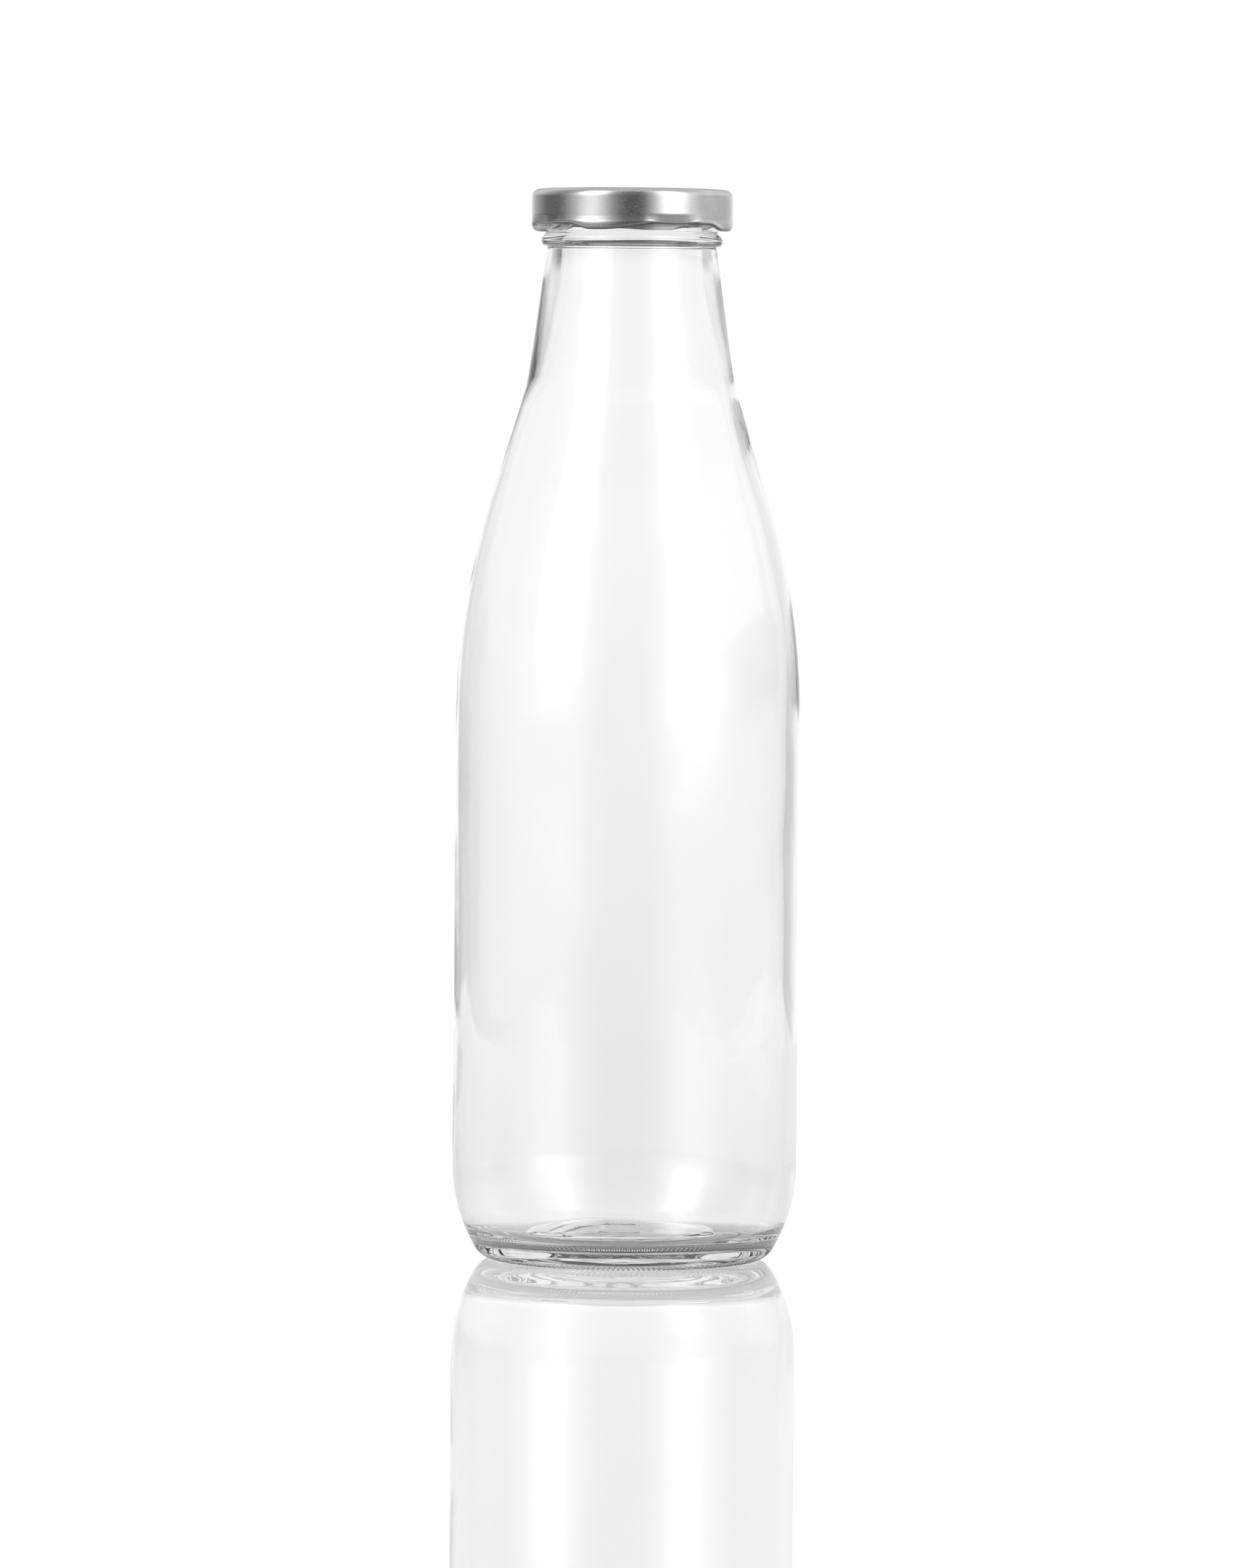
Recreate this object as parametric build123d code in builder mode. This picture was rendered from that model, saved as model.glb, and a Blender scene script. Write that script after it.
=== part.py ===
"""One-litre glass milk bottle with a 48 mm twist-off lug cap.

Millimetres, +Z up along the bottle's axis. The origin is the centre of the plane the bottle stands
on, and the front of the bottle faces -Y. The cap is set down on the mouth with its lugs in the gaps
between the threads, ready to be twisted shut.
"""

from build123d import *
from math import radians, tan
import os

os.makedirs("parts", exist_ok=True)

# ---- Driving dimensions ----
# Bottle, outside
body_radius = 43.0
heel_top_z = 24.0  # the heel runs out into the straight wall here
heel_radius = 42.0  # of the long heel arc, in section
heel_arc = 29.54  # degrees, down to where the foot's tighter arc is tangent to it
foot_radius = 6.5  # of the arc from the heel down to the plane the bottle stands on
shoulder_start_z = 134.5  # the straight wall ends here
shoulder_radius = 188.7  # of the long shoulder arc, in section
shoulder_arc = 17.5  # degrees, so it is also the slope of the cone that follows
neck_foot_radius = 26.0
neck_foot_z = 218.0
neck_middle_radius = 23.45  # the neck is slightly waisted between foot and top
neck_middle_z = 234.8
neck_top_radius = 21.15
neck_top_z = 252.3
neck_foot_round = 12.0

# Bottle, underside
bearing_inner_radius = 30.7  # flat ring that the bottle stands on
bearing_outer_radius = 31.9
bearing_round = 1.0  # of the ring's inner edge
punt_height = 4.6  # of the underside, at the middle
punt_edge_radius = 29.6
punt_edge_height = 1.3

# Finish: bead, wall, mouth and threads
bead_radius = 22.6
bead_top_z = 256.1
finish_radius = 21.4
rim_z = 265.75  # sealing face of the mouth
mouth_radius = 17.5
rim_outer_round = 1.6
rim_inner_round = 1.1
thread_count = 4
thread_radius = 23.5
thread_arc = 58.0  # degrees that each thread covers
thread_lead = 6.6  # rise in a full turn
thread_crest = 0.9
thread_root = 2.6
thread_round = 0.42
thread_slope = 14.0  # degrees by which the underside rises outwards
thread_closed_gap = 0.12  # above a lug, at the low end of the thread

# Bottle, inside
wall = 2.2  # of the straight body
floor_middle_z = 9.4
floor_step_radius = 22.4  # the middle of the floor stands up inside this
floor_step_z = 7.6
floor_step_foot_radius = 24.8
floor_step_foot_z = 5.2
floor_edge_radius = 34.9
floor_edge_z = 5.4
inner_heel_arc = 23.0  # degrees
floor_step_round = 1.6
cavity_corner_round = 5.0
neck_cavity_radius = 24.1
neck_cavity_z = 219.0
mouth_bore_end_z = 248.0  # the mouth is a straight bore from the rim down to here
neck_cavity_round = 40.0

# Cap shell
sheet = 0.25  # tinplate
cap_rim_z = 257.5
cap_top_z = 267.0
skirt_radius = 25.0
cap_top_round = 1.8
recess_depth = 0.7  # of the middle of the panel
recess_radius = 15.2
recess_top_radius = 16.4
step_height = 0.3  # raised disc inside the recess
step_radius = 9.0
step_foot_radius = 9.8
curl_width = 1.5
curl_height = 1.8
curl_flare = 0.5  # the curl stands out this much beyond the skirt
curl_slit = 0.2  # between the sheet's end and the skirt
lug_count = 4
lug_azimuth = 25.0  # degrees from +X, of one lug
lug_arc = 27.0  # degrees that each lug covers
lug_tip_radius = 22.1
lug_lift = 0.5  # the cap's rim is this much higher at a lug
lug_thickness = 1.3
lug_tuck = 0.8  # the skirt's foot is pressed in this far at a lug
lug_round = 0.35

# Liner
liner_inner_radius = 17.3
liner_gap = 0.15  # between the compound and the shell's side
liner_lip_radius = 22.0  # beyond this the compound hangs down outside the glass
liner_lip_drop = 0.9

# ---- Worked out from them ----
panel_under_z = cap_top_z - sheet
lug_under_z = cap_rim_z + lug_lift
lug_top_z = lug_under_z + lug_thickness
curl_centre_radius = skirt_radius + curl_flare - curl_width / 2
curl_centre_z = cap_rim_z + curl_height / 2
curl_arc = 360 / lug_count - lug_arc
first_lug = lug_azimuth - lug_arc / 2
first_curl = lug_azimuth + lug_arc / 2
thread_gap = 360 / thread_count - thread_arc
first_thread = lug_azimuth + thread_gap / 2


# ---- Thread: a ramp that stands out from the finish, made at azimuth 0 ----
# The section is drawn from the helix, which runs along the line where a lug's tip meets the underside.
slope = tan(radians(thread_slope))
thread_out = thread_radius - lug_tip_radius
thread_in = finish_radius - 0.3 - lug_tip_radius  # a little inside the wall, so the two join
thread_rise = thread_lead * thread_arc / 360

with BuildPart() as thread:
    with BuildLine() as thread_line:
        run = Helix(thread_lead, thread_rise, lug_tip_radius, (0, 0, lug_top_z + thread_closed_gap))
    with BuildSketch(Plane(origin=run @ 0, x_dir=(1, 0, 0), z_dir=-(run % 0))) as thread_section:
        with BuildLine():
            Polyline(
                (thread_in, thread_in * slope),
                (thread_out, thread_out * slope),
                (thread_out, thread_out * slope + thread_crest),
                (thread_in, thread_root),
                close=True,
            )
        make_face()
        fillet(thread_section.vertices().group_by(Axis.X)[-1], radius=thread_round)
    sweep(path=run, is_frenet=True)


# ---- Bottle: one piece of glass, with its threads ----
with BuildPart() as glass_bottle:
    with BuildSketch(Plane.XZ) as bottle_outline:
        with BuildLine():
            punt_side_z = punt_height - (punt_height - punt_edge_height) / 4
            punt = ThreePointArc(
                (0, punt_height),
                (punt_edge_radius / 2, punt_side_z),
                (punt_edge_radius, punt_edge_height),
            )
            shoulder_centre = (body_radius - shoulder_radius, shoulder_start_z)
            shoulder = CenterArc(shoulder_centre, shoulder_radius, 0, shoulder_arc)
            heel_centre = (body_radius - heel_radius, heel_top_z)
            heel = CenterArc(heel_centre, heel_radius, 0, -heel_arc)
            foot_centre = (bearing_outer_radius, foot_radius)
            foot = CenterArc(foot_centre, foot_radius, -90, 90 - heel_arc)
            ring = Line((bearing_inner_radius, 0), foot @ 0)
            neck = ThreePointArc(
                (neck_foot_radius, neck_foot_z),
                (neck_middle_radius, neck_middle_z),
                (neck_top_radius, neck_top_z),
            )
            bead = ThreePointArc(
                neck @ 1,
                (bead_radius, (neck_top_z + bead_top_z) / 2),
                (finish_radius, bead_top_z),
            )
            Line(punt @ 1, ring @ 0)
            Line(foot @ 1, heel @ 1)
            Line(heel @ 0, shoulder @ 0)
            Line(shoulder @ 1, neck @ 0)
            Polyline(bead @ 1, (finish_radius, rim_z), (0, rim_z), punt @ 0)
        make_face()
        neck_foot = bottle_outline.vertices().sort_by_distance((neck_foot_radius, neck_foot_z))[0]
        fillet(neck_foot, radius=neck_foot_round)
    revolve(axis=Axis.Z)
    with BuildSketch(Plane.XZ) as cavity_outline:
        with BuildLine():
            shoulder = CenterArc(shoulder_centre, shoulder_radius - wall, 0, shoulder_arc)
            inner_heel = CenterArc(heel_centre, heel_radius - wall, 0, -inner_heel_arc)
            Polyline(
                shoulder @ 1,
                (neck_cavity_radius, neck_cavity_z),
                (mouth_radius, mouth_bore_end_z),
                (mouth_radius, rim_z),
                (0, rim_z),
                (0, floor_middle_z),
                (floor_step_radius, floor_step_z),
                (floor_step_foot_radius, floor_step_foot_z),
                (floor_edge_radius, floor_edge_z),
                inner_heel @ 1,
            )
            Line(inner_heel @ 0, shoulder @ 0)
        make_face()
        corner = cavity_outline.vertices().sort_by_distance((floor_edge_radius, floor_edge_z))[0]
        fillet(corner, radius=cavity_corner_round)
        step_top = cavity_outline.vertices().sort_by_distance((floor_step_radius, floor_step_z))[0]
        step_foot = (floor_step_foot_radius, floor_step_foot_z)
        step_foot = cavity_outline.vertices().sort_by_distance(step_foot)[0]
        fillet([step_top, step_foot], radius=floor_step_round)
        neck_foot = cavity_outline.vertices().sort_by_distance((neck_cavity_radius, neck_cavity_z))[0]
        neck_top = cavity_outline.vertices().sort_by_distance((mouth_radius, mouth_bore_end_z))[0]
        fillet([neck_foot, neck_top], radius=neck_cavity_round)
    revolve(axis=Axis.Z, mode=Mode.SUBTRACT)
    rim_edges = glass_bottle.edges().filter_by(GeomType.CIRCLE).group_by(Axis.Z)[-1]
    fillet(rim_edges.sort_by(SortBy.RADIUS)[-1], radius=rim_outer_round)
    rim_edges = glass_bottle.edges().filter_by(GeomType.CIRCLE).group_by(Axis.Z)[-1]
    fillet(rim_edges.sort_by(SortBy.RADIUS)[0], radius=rim_inner_round)
    bearing_edges = glass_bottle.edges().filter_by(GeomType.CIRCLE).group_by(Axis.Z)[0]
    fillet(bearing_edges.sort_by(SortBy.RADIUS)[0], radius=bearing_round)
    with PolarLocations(0, thread_count, start_angle=first_thread):
        add(thread.part)


# ---- Cap shell: one pressing, with a curl along its foot that is flattened into lugs ----
# A length of curl and one lug are made at azimuth 0 and repeated round the skirt.
with BuildPart() as curl:
    with BuildSketch(Plane.XZ) as curl_section:
        with Locations((curl_centre_radius, curl_centre_z)):
            Ellipse(curl_width / 2, curl_height / 2)
            Ellipse(curl_width / 2 - sheet, curl_height / 2 - sheet, mode=Mode.SUBTRACT)
        slit_radius = curl_centre_radius - curl_width / 4
        with Locations((slit_radius, curl_centre_z + curl_height / 2)):
            Rectangle(curl_slit, curl_height, mode=Mode.SUBTRACT)
        with BuildLine():
            skirt_inner_radius = skirt_radius - sheet
            curl_side_radius = skirt_inner_radius + curl_flare
            Polyline(
                (skirt_inner_radius, lug_top_z),
                (skirt_radius, lug_top_z),
                (skirt_radius + curl_flare, curl_centre_z),
                (curl_side_radius, curl_centre_z),
                close=True,
            )
        make_face()
    revolve(axis=Axis.Z, revolution_arc=curl_arc)

with BuildPart() as lug:
    with BuildSketch(Plane.XZ) as lug_section:
        with BuildLine():
            Polyline(
                (skirt_radius, lug_top_z),
                (lug_tip_radius, lug_top_z),
                (lug_tip_radius, lug_under_z),
                (skirt_radius - lug_tuck, lug_under_z),
                close=True,
            )
        make_face()
        fillet(lug_section.vertices().group_by(Axis.X)[0], radius=lug_round)
    revolve(axis=Axis.Z, revolution_arc=lug_arc)

with BuildPart() as cap_shell:
    with BuildSketch(Plane.XZ) as shell_section:
        with BuildLine():
            recess_z = cap_top_z - recess_depth
            Polyline(
                (0, recess_z + step_height),
                (step_radius, recess_z + step_height),
                (step_foot_radius, recess_z),
                (recess_radius, recess_z),
                (recess_top_radius, cap_top_z),
                (skirt_radius, cap_top_z),
                (skirt_radius, lug_top_z),
            )
            offset(amount=sheet, side=Side.RIGHT)
        make_face()
        top_corner = shell_section.vertices().sort_by_distance((skirt_radius, cap_top_z))[0]
        fillet(top_corner, radius=cap_top_round)
        under_corner = (skirt_radius - sheet, panel_under_z)
        fillet(
            shell_section.vertices().sort_by_distance(under_corner)[0], radius=cap_top_round - sheet
        )
    revolve(axis=Axis.Z)
    with PolarLocations(0, lug_count, start_angle=first_lug):
        add(lug.part)
    with PolarLocations(0, lug_count, start_angle=first_curl):
        add(curl.part)


# ---- Liner: the ring of compound in the cap's channel ----
with BuildPart() as cap_liner:
    with BuildSketch(Plane.XZ) as liner_section:
        liner_radius = skirt_radius - sheet - liner_gap
        with BuildLine():
            Polyline(
                (liner_inner_radius, panel_under_z),
                (liner_radius, panel_under_z),
                (liner_radius, rim_z - liner_lip_drop),
                (liner_lip_radius, rim_z - liner_lip_drop),
                (liner_lip_radius, rim_z),
                (liner_inner_radius, rim_z),
                close=True,
            )
        make_face()
        outer_corner = liner_section.vertices().sort_by_distance((liner_radius, panel_under_z))[0]
        fillet(outer_corner, radius=cap_top_round - sheet)
    revolve(axis=Axis.Z)


glass_bottle.part.label = "glass_bottle"
cap_shell.part.label = "cap_shell"
cap_liner.part.label = "cap_liner"
export_step(glass_bottle.part, "parts/glass_bottle.step")
export_step(cap_shell.part, "parts/cap_shell.step")
export_step(cap_liner.part, "parts/cap_liner.step")
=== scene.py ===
"""Looks of the glass milk bottle: clear glass, a silver lug cap and its liner, on a white table.

Sections are drawn in millimetres as lists of (radius, height) points and turned about the bottle's
axis. Everything is scaled to metres when its mesh is made, and angles are in degrees from +X.
"""

import math

import bpy
import numpy as np
from mathutils import Matrix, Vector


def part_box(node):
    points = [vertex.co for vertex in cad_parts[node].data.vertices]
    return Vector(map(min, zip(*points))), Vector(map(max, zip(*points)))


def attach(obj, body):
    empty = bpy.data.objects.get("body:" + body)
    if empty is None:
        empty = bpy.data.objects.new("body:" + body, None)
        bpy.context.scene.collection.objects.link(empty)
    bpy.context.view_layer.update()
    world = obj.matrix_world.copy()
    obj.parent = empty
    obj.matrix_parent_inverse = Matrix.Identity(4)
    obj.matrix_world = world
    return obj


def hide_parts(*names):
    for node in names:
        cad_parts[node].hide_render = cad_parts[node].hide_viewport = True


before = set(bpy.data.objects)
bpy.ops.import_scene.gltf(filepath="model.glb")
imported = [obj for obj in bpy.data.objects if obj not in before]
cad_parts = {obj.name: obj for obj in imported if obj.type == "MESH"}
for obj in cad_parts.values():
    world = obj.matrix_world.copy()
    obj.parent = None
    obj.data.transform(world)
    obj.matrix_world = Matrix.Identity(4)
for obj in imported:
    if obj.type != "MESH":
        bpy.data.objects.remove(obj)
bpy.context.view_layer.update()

MM = 0.001
bottle_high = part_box("glass_bottle")[1]
cap_low, cap_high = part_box("cap_shell")
liner_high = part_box("cap_liner")[1]


# ---- Dimensions in millimetres, from the frame or repeated from the design ----
body_radius = min(bottle_high.y, bottle_high.x) / MM
rim_z = bottle_high.z / MM
cap_rim_z = cap_low.z / MM
cap_top_z = cap_high.z / MM
curl_radius = min(cap_high.y, cap_high.x) / MM

heel_top_z = 24.0
heel_radius = 42.0
heel_arc = 29.54
foot_radius = 6.5
shoulder_start_z = 134.5
shoulder_radius = 188.7
shoulder_arc = 17.5
neck_foot = (26.0, 218.0)
neck_middle = (23.45, 234.8)
neck_top = (21.15, 252.3)
bead = (22.6, 254.2)
bead_top = (21.4, 256.1)
finish_radius = 21.4
mouth_radius = 17.5
punt_height = 4.6
punt_edge = (29.6, 1.3)
bearing_radius = 31.9

wall = 2.2
inner_heel_arc = 23.0
neck_cavity = (24.1, 219.0)
mouth_bore_end_z = 248.0

lug_azimuths = [25.0, 115.0, 205.0, 295.0]
thread_arc = 58.0
thread_gap = 32.0


# ---- Sections ----
def arc(centre, radius, start, turn, count):
    """Points on a circular arc from start degrees through turn degrees."""
    angles = np.radians(np.linspace(start, start + turn, count))
    return [(centre[0] + radius * math.cos(a), centre[1] + radius * math.sin(a)) for a in angles]


def arc_through(a, b, c, count):
    """Points on the circular arc from a through b to c."""
    (ax, ay), (bx, by), (cx, cy) = a, b, c
    d = 2 * (ax * (by - cy) + bx * (cy - ay) + cx * (ay - by))
    a2, b2, c2 = ax**2 + ay**2, bx**2 + by**2, cx**2 + cy**2
    ux = (a2 * (by - cy) + b2 * (cy - ay) + c2 * (ay - by)) / d
    uy = (a2 * (cx - bx) + b2 * (ax - cx) + c2 * (bx - ax)) / d
    start = math.degrees(math.atan2(ay - uy, ax - ux))
    end = math.degrees(math.atan2(cy - uy, cx - ux))
    turn = (end - start + 180) % 360 - 180
    return arc((ux, uy), math.hypot(ax - ux, ay - uy), start, turn, count)


def rounded(points, radii, count=8):
    """A polyline whose inner corners are rounded to the radii."""
    path = [points[0]]
    for a, b, c, radius in zip(points, points[1:], points[2:], radii):
        a, b, c = np.array(a), np.array(b), np.array(c)
        back = (a - b) / np.linalg.norm(a - b)
        on = (c - b) / np.linalg.norm(c - b)
        half = math.acos(np.clip(back @ on, -1, 1)) / 2
        reach = radius / math.tan(half)
        middle = b + (back + on) / np.linalg.norm(back + on) * (radius / math.sin(half) - radius)
        path += arc_through(tuple(b + back * reach), tuple(middle), tuple(b + on * reach), count)
    return path + [points[-1]]


def resampled(path, spacing):
    """The path with points about spacing(point) apart, its own ends kept."""
    path = np.array(path)
    steps = np.linalg.norm(np.diff(path, axis=0), axis=1)
    keep = np.concatenate([[True], steps > 1e-6])
    path = path[keep]
    steps = np.linalg.norm(np.diff(path, axis=0), axis=1)
    middles = (path[1:] + path[:-1]) / 2
    cost = steps / np.array([spacing(p) for p in middles])
    total = np.concatenate([[0], np.cumsum(cost)])
    wanted = np.linspace(0, total[-1], max(2, int(round(total[-1])) + 1))
    return np.column_stack([np.interp(wanted, total, path[:, k]) for k in (0, 1)])


def smooth(value, low, high):
    """0 below low and 1 above high, with an eased step between them."""
    t = np.clip((value - low) / (high - low), 0, 1)
    return t * t * (3 - 2 * t)


# ---- Meshes ----
def turned(name, section, around, shape=None, fine=None):
    """A closed mesh made by turning the section about +Z.

    The section starts and ends on the axis, or is a ring if it does neither. shape(radius, height,
    azimuth, row) moves each ring's points. fine is (first row, last row, times), for rows with more
    points round them than the rest.
    """
    rows = len(section)
    on_axis = section[0][0] < 1e-9
    vertices, rings = [], []
    for row, (radius, height) in enumerate(section):
        if on_axis and row in (0, rows - 1):
            rings.append([len(vertices)])
            vertices.append((0.0, 0.0, height * MM))
            continue
        count = around * (fine[2] if fine and fine[0] <= row <= fine[1] else 1)
        azimuth = np.arange(count) * 360 / count
        radii, heights = np.full(count, radius), np.full(count, height)
        if shape:
            radii, heights = shape(radii, heights, azimuth, row)
        rings.append(list(range(len(vertices), len(vertices) + count)))
        turn = np.radians(azimuth)
        vertices += list(zip(radii * np.cos(turn) * MM, radii * np.sin(turn) * MM, heights * MM))
    faces = []
    pairs = list(zip(rings, rings[1:]))
    if not on_axis:
        pairs.append((rings[-1], rings[0]))
    for lower, upper in pairs:
        faces += strip(lower, upper)
    mesh = bpy.data.meshes.new(name)
    mesh.from_pydata(vertices, [], faces)
    mesh.update()
    mesh.shade_smooth()
    obj = bpy.data.objects.new(name, mesh)
    bpy.context.scene.collection.objects.link(obj)
    return obj


def strip(lower, upper):
    """Faces between two rings, where one count of points is a whole number of times the other."""
    n, m = len(lower), len(upper)
    if n == 1:
        return [(lower[0], upper[(k + 1) % m], upper[k]) for k in range(m)]
    if m == 1:
        return [(lower[k], lower[(k + 1) % n], upper[0]) for k in range(n)]
    if n == m:
        return [(lower[k], lower[(k + 1) % n], upper[(k + 1) % n], upper[k]) for k in range(n)]
    coarse, fine, flip = (lower, upper, False) if n < m else (upper, lower, True)
    times = len(fine) // len(coarse)
    faces = []
    for k in range(len(coarse)):
        a, b = coarse[k], coarse[(k + 1) % len(coarse)]
        edge = [fine[(k * times + j) % len(fine)] for j in range(times + 1)]
        half = times // 2
        fans = [(a, edge[j + 1], edge[j]) for j in range(half + 1)]
        fans += [(b, edge[j + 1], edge[j]) for j in range(half + 1, times)]
        fans.append((a, b, edge[half + 1]))
        faces += [f[::-1] for f in fans] if flip else fans
    return faces


# ---- Bottle ----
AROUND = 320
KNURLS = 160
knurl_depth = 0.6
thread_middle_z = 260.55
thread_stand = 2.1
thread_lead = 6.6


def bottle_section():
    """The glass in section: up the outside from the punt, over the rim and down the inside.

    Also gives how many of its points are outside.
    """
    heel_centre = (body_radius - heel_radius, heel_top_z)
    heel = arc(heel_centre, heel_radius, -heel_arc, heel_arc, 40)
    foot = arc((bearing_radius, foot_radius), foot_radius, -90, 90 - heel_arc, 24)
    shoulder_centre = (body_radius - shoulder_radius, shoulder_start_z)
    shoulder = arc(shoulder_centre, shoulder_radius, 0, shoulder_arc, 40)
    neck = arc_through(neck_foot, neck_middle, neck_top, 40)
    outside = arc_through((0, punt_height), (punt_edge[0] / 2, 3.8), punt_edge, 30)
    outside += rounded([punt_edge, (bearing_radius - 1.2, 0), foot[0]], [1.0])
    outside += foot + heel + shoulder[:-1]
    outside += rounded([shoulder[-1], neck_foot, neck[12]], [9.0])
    outside += rounded([neck[13], neck_top, (21.1, 252.85), (22.3, 253.35)], [3.0, 0.4])[:-1]
    outside += arc_through((22.1, 252.95), bead, (22.0, 255.55), 12)
    outside += rounded([(21.95, 255.6), bead_top, (finish_radius, 258)], [0.5])
    outside += rounded([(finish_radius, 258), (finish_radius, rim_z), (19.4, rim_z)], [1.6])
    inner_shoulder = arc(shoulder_centre, shoulder_radius - wall, shoulder_arc, -shoulder_arc, 40)
    inside = rounded([(19.4, rim_z), (mouth_radius, rim_z), (mouth_radius, 262)], [1.1])[:-1]
    inside += rounded(
        [(mouth_radius, 262), (mouth_radius, mouth_bore_end_z), neck_cavity, inner_shoulder[0]],
        [40.0, 40.0],
    )
    inside += inner_shoulder
    inside += arc(heel_centre, heel_radius - wall, 0, -inner_heel_arc, 30)
    floor = [inside[-1], (34.9, 5.4), (24.8, 5.2), (22.4, 7.6), (12.0, 8.8)]
    inside += rounded(floor, [6.0, 1.6, 2.2])
    inside += rounded([(12.0, 8.8), (5.0, 9.4), (0, 9.4)], [20.0])
    return outside + inside, len(outside)


def glass_spacing(point):
    """How far apart the section's points are, in millimetres."""
    radius, height = point
    if height < 9 and radius < 37:
        return 0.6 if radius > 20 else 1.4
    if height < 24:
        return 1.6
    if height > 240 and radius < 19:
        return 0.75
    if height > 251:
        return 0.42
    return 2.4 if height > 210 else 6.4


WAVES = [
    # size in mm, times round, wavelength up the bottle in mm, phases in degrees
    (0.16, 2, 150, 20, 70),
    (0.09, 3, 90, 200, 10),
    (0.06, 5, 60, 310, 120),
    (0.035, 8, 34, 80, 250),
]


def thread_bump(azimuth, height):
    """How far the threads stand out from the finish, in millimetres."""
    bump = np.zeros_like(azimuth)
    for lug in lug_azimuths:
        along = (azimuth - lug - thread_gap / 2) % 360
        along = np.where(along > 180 + thread_arc / 2, along - 360, along)
        middle = thread_middle_z + thread_lead * along / 360
        ends = smooth(along, 0, 9) * (1 - smooth(along, thread_arc - 9, thread_arc))
        across = np.abs(height - middle - 0.25)
        bump = np.maximum(bump, ends * (1 - smooth(across, 0.35, 1.3)))
    return bump * thread_stand


def bottle_shape(outside_rows):
    """Knurls on the ring, threads on the finish, and an uneven wall inside."""

    def shape(radii, heights, azimuth, row):
        turn = np.radians(azimuth)
        if row < outside_rows:
            window = smooth(radii, 30.0, 30.9) * (1 - smooth(radii, 33.6, 35.8)) * (heights < 3)
            knurl = 0.5 - 0.5 * np.cos(turn * KNURLS)
            heights = heights + window * knurl * knurl_depth
            if 256 < heights[0] < rim_z - 0.5:
                radii = radii + thread_bump(azimuth, heights)
            return radii, heights
        low = heights[0]
        loose = 1 - smooth(low, 215, 246)
        shift = 0.85 * (1 - smooth(low, 196, 232)) * smooth(radii[0], 5, 38)
        radii = radii - shift * np.cos(turn)
        for size, times, length, at, up in WAVES:
            lift = math.sin(math.radians(low / length * 360 + up))
            radii = radii + size * loose * np.cos(turn * times + math.radians(at)) * lift
        if low < 10:
            heights = heights + 0.12 * np.cos(turn * 2 + 0.7) * smooth(radii, 4, 20)
        return radii, heights

    return shape


def make_bottle():
    path, outside_count = bottle_section()
    outside = resampled(path[:outside_count], glass_spacing)
    inside = resampled(path[outside_count:], glass_spacing)
    section = np.vstack([outside, inside[1:]])
    base_rows = [k for k, (r, z) in enumerate(outside) if z < 3 and 29.8 < r < 36.0]
    fine = (base_rows[0], base_rows[-1], 3)
    return turned("milk_bottle", section, AROUND, bottle_shape(len(outside)), fine)


bottle = make_bottle()


# ---- Cap shell ----
CAP_AROUND = 384
cap_sheet = 0.24
# Degrees from a lug's middle where the lug starts to turn into the curl, and where it is all curl.
LUG_FLAT, LUG_EDGE = 4.0, 19.0


def even(path, count):
    """The path as count points, evenly spaced along it."""
    path = np.array(path)
    steps = np.concatenate([[0], np.cumsum(np.linalg.norm(np.diff(path, axis=0), axis=1))])
    wanted = np.linspace(0, steps[-1], count)
    return np.column_stack([np.interp(wanted, steps, path[:, k]) for k in (0, 1)])


def cap_section():
    """Middle of the sheet: the panel, then the skirt's foot between lugs and at a lug."""
    half = cap_sheet / 2
    top = cap_top_z - half
    side = curl_radius - 0.5 - half
    panel = rounded(
        [
            (0, top - 0.4),
            (9.0, top - 0.4),
            (9.9, top - 0.7),
            (15.1, top - 0.7),
            (16.5, top),
            (side, top),
            (side, 262.4),
        ],
        [0.8, 0.8, 0.8, 0.8, 1.7],
    )
    panel = resampled(panel, lambda p: 0.3 if p[0] > 14 or abs(p[0] - 9.5) < 1.5 else 1.2)
    curl_width = 0.72 - half
    centre = (curl_radius - 0.41 - 0.72, cap_rim_z + 1.25)
    roll = []
    for a in np.radians(np.linspace(25, -285, 60)):
        tall = (0.75 if math.sin(a) > 0 else 1.25) - half
        roll.append((centre[0] + curl_width * math.cos(a), centre[1] + tall * math.sin(a)))
    curl = rounded([(side, 262.4), (side, 259.9), roll[0]], [2.5])[:-1] + roll
    lug = rounded(
        [
            (side, 262.4),
            (side, 260.4),
            (side - 0.7, 258.05),
            (22.35, 258.05),
            (22.35, 259.05),
            (24.0, 259.05),
        ],
        [1.6, 0.4, 0.48, 0.48],
    )
    return panel, even(curl, 60), even(lug, 60)


def hem_drop(past):
    """How far the curl hangs below its middle height, degrees past the last lug, in millimetres."""
    return 1.3 * smooth(past, 25, 40) * (1 - smooth(past, 48, 82)) - 0.4


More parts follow.
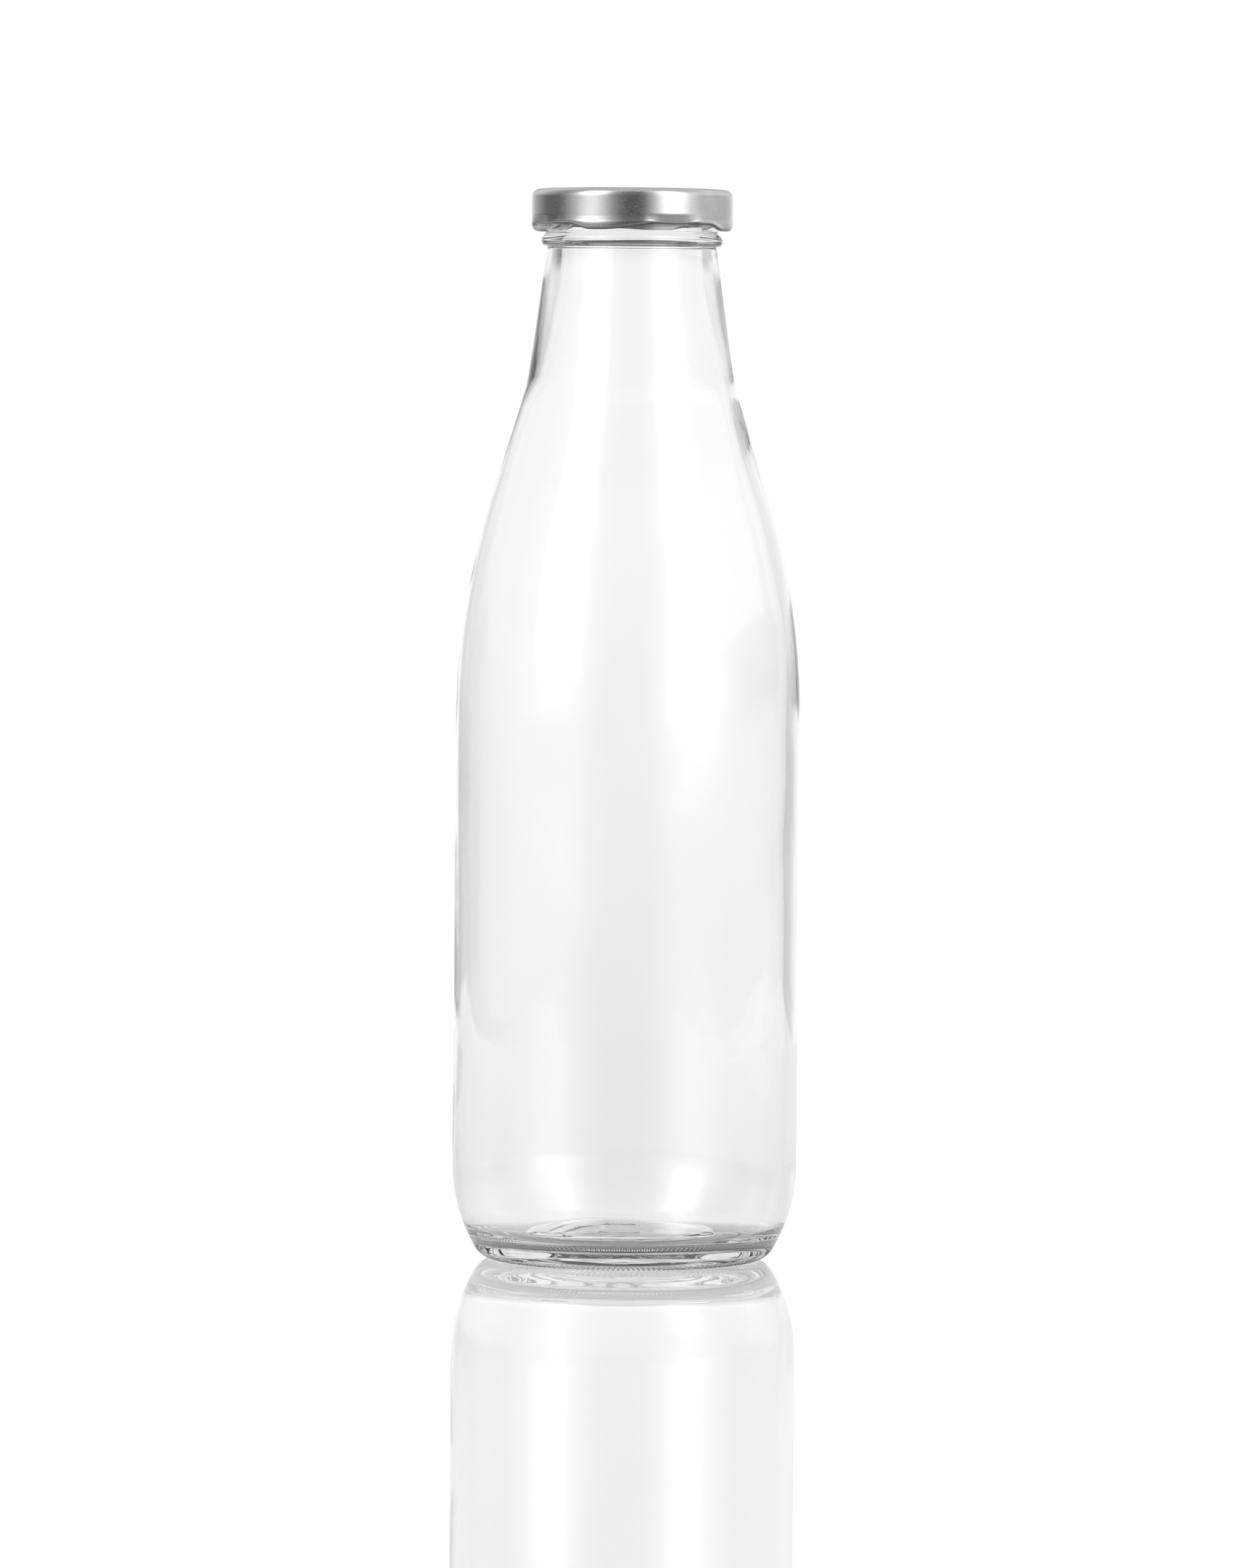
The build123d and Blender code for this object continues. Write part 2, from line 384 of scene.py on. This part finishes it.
def make_cap():
    panel, curl, lug = cap_section()
    azimuths = np.arange(CAP_AROUND) * 360 / CAP_AROUND
    vertices, faces = [], []
    half = cap_sheet / 2
    rows = len(panel) + len(curl) - 1
    grid = np.zeros((CAP_AROUND, rows, 2, 3))
    for k, azimuth in enumerate(azimuths):
        past = (azimuth - lug_azimuths[0]) % 90
        pressed = 1 - smooth(min(past, 90 - past), LUG_FLAT, LUG_EDGE)
        hem = curl.copy()
        hem[:, 1] -= hem_drop(past) * smooth(-hem[:, 1], -259.4, -257.8)
        foot = hem * (1 - pressed) + lug * pressed
        middle = np.vstack([panel, foot[1:]])
        along = np.gradient(middle, axis=0)
        along /= np.linalg.norm(along, axis=1)[:, None]
        out = np.column_stack([-along[:, 1], along[:, 0]])
        out[0] = (0, 1)
        turn = math.radians(azimuth)
        for side, sign in ((0, 1), (1, -1)):
            line = middle + out * half * sign
            line[0, 0] = 0
            grid[k, :, side, 0] = line[:, 0] * math.cos(turn)
            grid[k, :, side, 1] = line[:, 0] * math.sin(turn)
            grid[k, :, side, 2] = line[:, 1]
    mesh = bpy.data.meshes.new("lug_cap")
    index = {}
    for side in (0, 1):
        index[side, 0] = [len(vertices)]
        vertices.append(tuple(grid[0, 0, side] * MM))
        for row in range(1, rows):
            index[side, row] = list(range(len(vertices), len(vertices) + CAP_AROUND))
            vertices += [tuple(v * MM) for v in grid[:, row, side]]
    for row in range(rows - 1):
        faces += [f[::-1] for f in strip(index[0, row], index[0, row + 1])]
        faces += strip(index[1, row], index[1, row + 1])
    faces += [f[::-1] for f in strip(index[0, rows - 1], index[1, rows - 1])]
    mesh.from_pydata(vertices, [], faces)
    mesh.update()
    mesh.shade_smooth()
    obj = bpy.data.objects.new("lug_cap", mesh)
    bpy.context.scene.collection.objects.link(obj)
    return obj


cap = make_cap()


# ---- Liner ----
def make_liner():
    top, bottom = liner_high.z / MM, rim_z
    outer = liner_high.y / MM
    section = rounded(
        [
            (20.0, top),
            (outer, top),
            (outer, bottom - 0.9),
            (22.0, bottom - 0.9),
            (21.9, bottom),
            (17.35, bottom),
            (17.35, top),
            (19.5, top),
        ],
        [1.55, 0.5, 0.4, 0.5, 0.45, 0.1],
    )
    section = resampled(section, lambda p: 0.25)
    return turned("sealing_liner", section[::-1], 192)


liner = make_liner()


# ---- Materials ----
class Nodes:
    """A node tree, built one node at a time."""

    def __init__(self, owner):
        owner.use_nodes = True
        self.owner = owner
        self.nodes = owner.node_tree.nodes
        self.links = owner.node_tree.links

    def node(self, kind, **inputs):
        """A new node. Inputs are its sockets' names with _ for spaces, and numbers or outputs."""
        made = self.nodes.new("ShaderNode" + kind)
        for name, value in inputs.items():
            self.put(made, name.replace("_", " "), value)
        return made

    def put(self, node, socket, value):
        if hasattr(value, "is_output"):
            self.links.new(value, node.inputs[socket])
        else:
            node.inputs[socket].default_value = value

    def noise(self, size, detail=2.0, rough=0.5, stretch=(1, 1, 1)):
        """Noise on the object whose features are about size metres across, times stretch."""
        where = self.node("TexCoord").outputs["Object"]
        scaled = self.node("Mapping", Vector=where, Scale=[1 / (size * s) for s in stretch])
        made = self.node("TexNoise", Vector=scaled.outputs["Vector"], Scale=1.0, Detail=detail)
        self.put(made, "Roughness", rough)
        return made.outputs["Fac"]

    def span(self, value, low, high, to_low=0.0, to_high=1.0, eased=False):
        """The value's range from low to high, mapped to another range and held beyond it."""
        made = self.node("MapRange", Value=value, From_Min=low, From_Max=high)
        self.put(made, "To Min", to_low)
        self.put(made, "To Max", to_high)
        if eased:
            made.interpolation_type = "SMOOTHSTEP"
        return made.outputs["Result"]

    def math(self, operation, a, b=0.0):
        """The result of a Math node's operation on a and b."""
        made = self.nodes.new("ShaderNodeMath")
        made.operation = operation
        self.put(made, 0, a)
        self.put(made, 1, b)
        return made.outputs[0]

    def mix(self, factor, a, b):
        """A colour, or a number as a grey: a where the factor is 0 and b where it is 1."""
        made = self.nodes.new("ShaderNodeMix")
        made.data_type = "RGBA"
        self.put(made, "Factor", factor)
        self.put(made, "A", grey(a))
        self.put(made, "B", grey(b))
        return made.outputs["Result"]


def grey(value):
    """A number as a grey colour. Anything else stays as it is."""
    return (value, value, value, 1.0) if isinstance(value, (int, float)) else value


class Finish(Nodes):
    """A material around its Principled shader."""

    def __init__(self, name):
        super().__init__(bpy.data.materials.new(name))
        self.surface = self.nodes["Principled BSDF"]
        self.output = self.nodes["Material Output"]

    def set(self, **values):
        for name, value in values.items():
            self.put(self.surface, name.replace("_", " "), value)

    def bump(self, height, strength, distance):
        made = self.node("Bump", Height=height, Strength=strength, Distance=distance)
        self.put(self.surface, "Normal", made.outputs["Normal"])


def clear_glass():
    glass = Finish("clear_glass")
    glass.set(Base_Color=grey(1.0), IOR=1.52, Transmission_Weight=1.0)
    glass.set(Roughness=glass.span(glass.noise(0.02, 4), 0.45, 0.75, 0.01, 0.03))
    glass.bump(glass.noise(0.018, 3, 0.4, (1, 1, 2)), 0.2, 0.0004)
    absorb = glass.node("VolumeAbsorption", Color=(0.82, 0.84, 0.83, 1), Density=6.0)
    glass.put(glass.output, "Volume", absorb.outputs["Volume"])
    return glass.owner


# Painted shade: the grey that the curl's underside is darkened to, and the height below which it is
# darkened.
HEM_SHADE_GREY = 0.12
SHADE_TOP_Z = cap_rim_z + 4.0


def silver_lacquer():
    """Satin silver, with painted shade: dark grey on the downward-facing underside of the curl."""
    metal = Finish("silver_lacquer")
    grain = metal.noise(0.0005, 3, 0.6)
    cloud = metal.noise(0.006, 3)
    silver = metal.mix(metal.span(cloud, 0.3, 0.7), 0.6, 0.66)
    normal = metal.node("NewGeometry").outputs["Normal"]
    facing = metal.node("SeparateXYZ", Vector=normal).outputs["Z"]
    where = metal.node("TexCoord").outputs["Object"]
    height = metal.node("SeparateXYZ", Vector=where).outputs["Z"]
    low = metal.span(height, (SHADE_TOP_Z - 1.0) * MM, SHADE_TOP_Z * MM, 1.0, 0.0)
    # Painted shade: faces turned downwards near the rim get the dark grey.
    painted_shade = metal.math("MULTIPLY", metal.span(facing, -0.1, -0.6, eased=True), low)
    metal.set(Metallic=1.0, Base_Color=metal.mix(painted_shade, silver, HEM_SHADE_GREY))
    metal.set(Roughness=metal.span(grain, 0.3, 0.7, 0.2, 0.28))
    metal.bump(grain, 0.15, 0.00002)
    return metal.owner


COMPOUND, COMPOUND_PALE = (0.66, 0.65, 0.62, 1), (0.72, 0.71, 0.69, 1)


def soft_compound():
    ring = Finish("soft_compound")
    cloud = ring.noise(0.004, 4)
    ring.set(Base_Color=ring.mix(ring.span(cloud, 0.3, 0.7), COMPOUND, COMPOUND_PALE))
    ring.set(Roughness=ring.span(cloud, 0.3, 0.7, 0.45, 0.6))
    ring.bump(ring.noise(0.0012, 3), 0.3, 0.00008)
    return ring.owner


bottle.data.materials.append(clear_glass())
cap.data.materials.append(silver_lacquer())
liner.data.materials.append(soft_compound())

for piece, node, body, slot in (
    (bottle, "glass_bottle", "bottle", "clear_glass"),
    (cap, "cap_shell", "cap", "cap_metal"),
    (liner, "cap_liner", "liner", "liner_compound"),
):
    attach(piece, body)
    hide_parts(node)


# ---- Stage: a glossy white table ----
TABLE_FRONT, TABLE_SIDE, TABLE_BACK = -0.64, 0.8, 0.8
TABLE_SEEN = 0.88
# Painted shadow: the level the table's glow falls to right under the bottle.
TABLE_SHADOW = 0.2  # under the bottle
SHADE_FROM, SHADE_TO = 0.028, 0.05  # metres from the axis
BACKDROP = (0.95, 1.04)  # seen straight through the glass, low down and at eye level


def make_table():
    """A table that glows white and mirrors what stands on it, with a painted shadow: its glow is
    darker under the bottle.

    What the glass and the cap mirror of it also fades towards its front.
    """
    mesh = bpy.data.meshes.new("table")
    corners = [
        (-TABLE_SIDE, TABLE_FRONT, 0),
        (TABLE_SIDE, TABLE_FRONT, 0),
        (TABLE_SIDE, TABLE_BACK, 0),
        (-TABLE_SIDE, TABLE_BACK, 0),
    ]
    mesh.from_pydata(corners, [], [(0, 1, 2, 3)])
    table = bpy.data.objects.new("table", mesh)
    bpy.context.scene.collection.objects.link(table)
    white = Finish("table_white")
    where = white.node("TexCoord").outputs["Object"]
    away = white.node("VectorMath")
    away.operation = "LENGTH"
    white.put(away, 0, where)
    away = away.outputs["Value"]
    # Painted shadow: except where the camera sees the table directly, its glow is dark right under
    # the bottle.
    shadowed_glow = white.span(away, SHADE_FROM, SHADE_TO, TABLE_SHADOW, TABLE_SEEN, eased=True)
    shadowed_glow = white.math("ADD", shadowed_glow, white.span(away, 0.2, 0.8, 0.0, BACKDROP[0] - TABLE_SEEN))
    path = white.node("LightPath").outputs
    bounced = white.math("MINIMUM", path["Glossy Depth"], 1.0)
    front = white.node("SeparateXYZ", Vector=where).outputs["Y"]
    fade = white.math("MULTIPLY", bounced, white.span(front, -0.6, 0.05, 0.7, 0.1, eased=True))
    shade = white.math("SUBTRACT", shadowed_glow, fade)
    seen = path["Is Camera Ray"]
    glow = white.node("Emission", Color=white.mix(seen, shade, 1.0), Strength=1.0)
    gloss = white.node("BsdfGlossy", Color=grey(1.0), Roughness=0.0)
    fresnel = white.node("Fresnel", IOR=1.4)
    mixed = white.node("MixShader")
    clear = white.math("MAXIMUM", seen, white.math("MULTIPLY", bounced, 0.5))
    white.put(mixed, 0, white.math("MULTIPLY", fresnel.outputs["Fac"], clear))
    white.put(mixed, 1, glow.outputs["Emission"])
    white.put(mixed, 2, gloss.outputs["BSDF"])
    white.put(white.output, "Surface", mixed.outputs["Shader"])
    table.data.materials.append(white.owner)


make_table()


# ---- Light ----
# Brightness of the studio round the bottle: degrees to the right of the front, then the level below
# the horizon, at the horizon and where the lamps hang.
STUDIO = [
    (-180, 1.0, 1.0, 0.6),
    (-165, 1.0, 1.0, 0.6),
    (-148, 0.45, 0.6, 0.9),
    (-132, 0.25, 0.35, 0.8),
    (-116, 0.12, 0.12, 0.5),
    (-90, 0.12, 0.12, 0.3),
    (-70, 0.3, 0.7, 0.6),
    (-56, 0.35, 1.2, 3.0),
    (-44, 0.4, 1.3, 4.0),
    (-34, 0.35, 1.0, 1.6),
    (-22, 0.15, 0.4, 0.4),
    (-8, 0.08, 0.08, 0.2),
    (12, 0.08, 0.08, 0.2),
    (24, 0.3, 0.8, 0.6),
    (36, 0.6, 2.2, 1.8),
    (46, 0.7, 2.8, 3.6),
    (58, 0.7, 2.4, 2.0),
    (74, 0.8, 1.0, 1.0),
    (90, 1.0, 0.45, 0.9),
    (115, 1.0, 0.5, 0.9),
    (135, 0.6, 0.6, 0.9),
    (150, 0.6, 0.8, 0.9),
    (165, 1.0, 1.0, 0.6),
    (180, 1.0, 1.0, 0.6),
]
OVERHEAD = 0.7
CEILING = 0.15  # seen straight through the glass, high up
TOP_LEVEL = max(max(row[1:]) for row in STUDIO)


def make_world():
    """The studio, as glass and cap mirror it, and a plain white backdrop seen straight on."""
    world = bpy.data.worlds.new("studio")
    bpy.context.scene.world = world
    sky = Nodes(world)
    split = sky.node("SeparateXYZ", Vector=sky.node("TexCoord").outputs["Generated"])
    across, along, up = split.outputs
    turn = sky.math("ARCTAN2", across, sky.math("MULTIPLY", along, -1.0))
    share = sky.span(turn, -math.pi, math.pi)
    ramps = []
    for column in (1, 2, 3):
        ramp = sky.node("ValToRGB", Fac=share)
        stops = ramp.color_ramp.elements
        stops[0].color = stops[1].color = grey(STUDIO[0][column] / TOP_LEVEL)
        for row in STUDIO[1:-1]:
            stops.new((row[0] + 180) / 360).color = grey(row[column] / TOP_LEVEL)
        ramp.color_ramp.interpolation = "EASE"
        ramps.append(ramp.outputs["Color"])
    level = sky.mix(sky.span(up, -0.05, 0.03, eased=True), ramps[0], ramps[1])
    level = sky.mix(sky.span(up, 0.0, 0.25, eased=True), level, ramps[2])
    level = sky.mix(sky.span(up, 0.65, 0.9, eased=True), level, OVERHEAD / TOP_LEVEL)
    path = sky.node("LightPath").outputs
    straight = sky.math("LESS_THAN", path["Glossy Depth"], 0.5)
    backdrop = sky.span(up, -0.075, -0.01, BACKDROP[0] / TOP_LEVEL, BACKDROP[1] / TOP_LEVEL)
    backdrop = sky.mix(sky.span(up, 0.2, 0.45, eased=True), backdrop, CEILING / TOP_LEVEL)
    level = sky.mix(straight, level, backdrop)
    first = sky.math("LESS_THAN", path["Ray Depth"], 2.5)
    mirrored = sky.math("MULTIPLY", path["Is Singular Ray"], first)
    white = sky.math("MAXIMUM", path["Is Camera Ray"], mirrored)
    level = sky.mix(white, level, 1.02 / TOP_LEVEL)
    background = sky.nodes["Background"]
    sky.put(background, "Color", level)
    sky.put(background, "Strength", TOP_LEVEL)
    world.cycles.sampling_method = "NONE"


make_world()


# ---- Camera ----
CAMERA_PLACE = (0, -2.18, 0.209)
CAMERA_DOWN, CAMERA_ROLL = 2.368, 0.487
CAMERA_LENS = 200.57


def make_camera():
    camera = bpy.data.cameras.new("camera")
    camera.sensor_width = 36.0
    camera.lens = CAMERA_LENS
    camera.clip_end = 100.0
    obj = bpy.data.objects.new("camera", camera)
    bpy.context.scene.collection.objects.link(obj)
    tilt = Matrix.Rotation(math.radians(90 - CAMERA_DOWN), 4, "X")
    roll = Matrix.Rotation(math.radians(CAMERA_ROLL), 4, "Z")
    obj.matrix_world = Matrix.Translation(CAMERA_PLACE) @ tilt @ roll
    bpy.context.scene.camera = obj


make_camera()
scene = bpy.context.scene
scene.view_settings.view_transform = "Standard"
scene.cycles.max_bounces = 24
scene.cycles.transmission_bounces = 20
scene.cycles.glossy_bounces = 12
